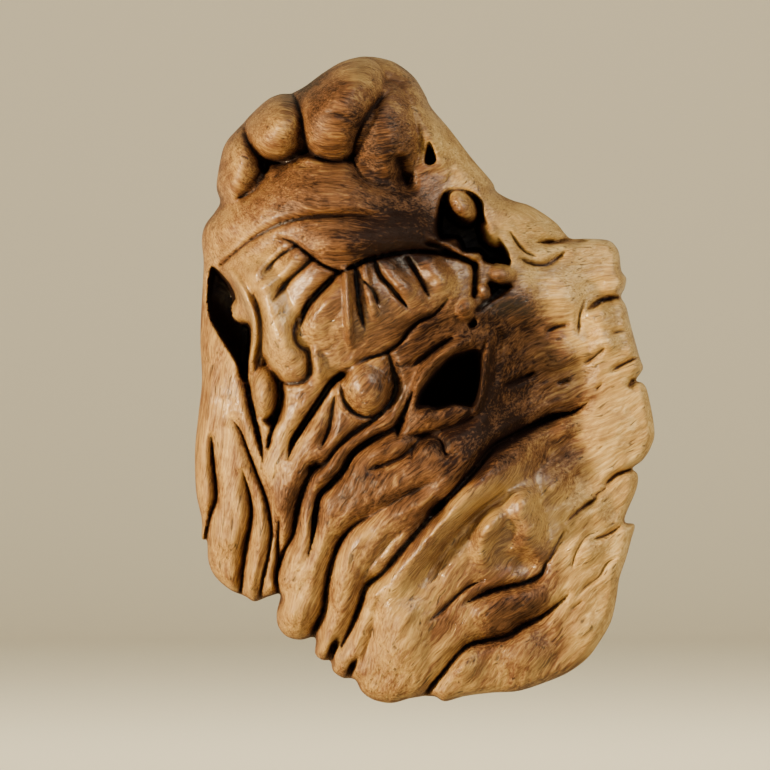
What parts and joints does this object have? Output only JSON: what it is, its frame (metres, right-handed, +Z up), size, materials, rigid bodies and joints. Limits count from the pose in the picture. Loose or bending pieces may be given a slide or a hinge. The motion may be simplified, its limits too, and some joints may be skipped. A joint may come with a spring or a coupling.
{
  "type": "abstract sculpture",
  "caption": "Carved wooden wall sculpture in high relief: round bulbs over a browed, ribbed face whose folds flow down beside a broad wavy wing.",
  "frame": {"origin": "on the flat back, where it meets the wall, near the middle of the outline", "axes": "+Z up as it hangs, +Y out of the back into the wall, so the carving faces -Y and +X is to the right of a person who looks at it"},
  "size_m": [0.2764, 0.1093, 0.388],
  "materials": {
    "sculpture": "carved, oiled and rubbed to a soft gloss, darker in the hollows"
  },
  "bodies": {
    "root": {"sculpture": "sculpture"}
  },
  "joints": []
}
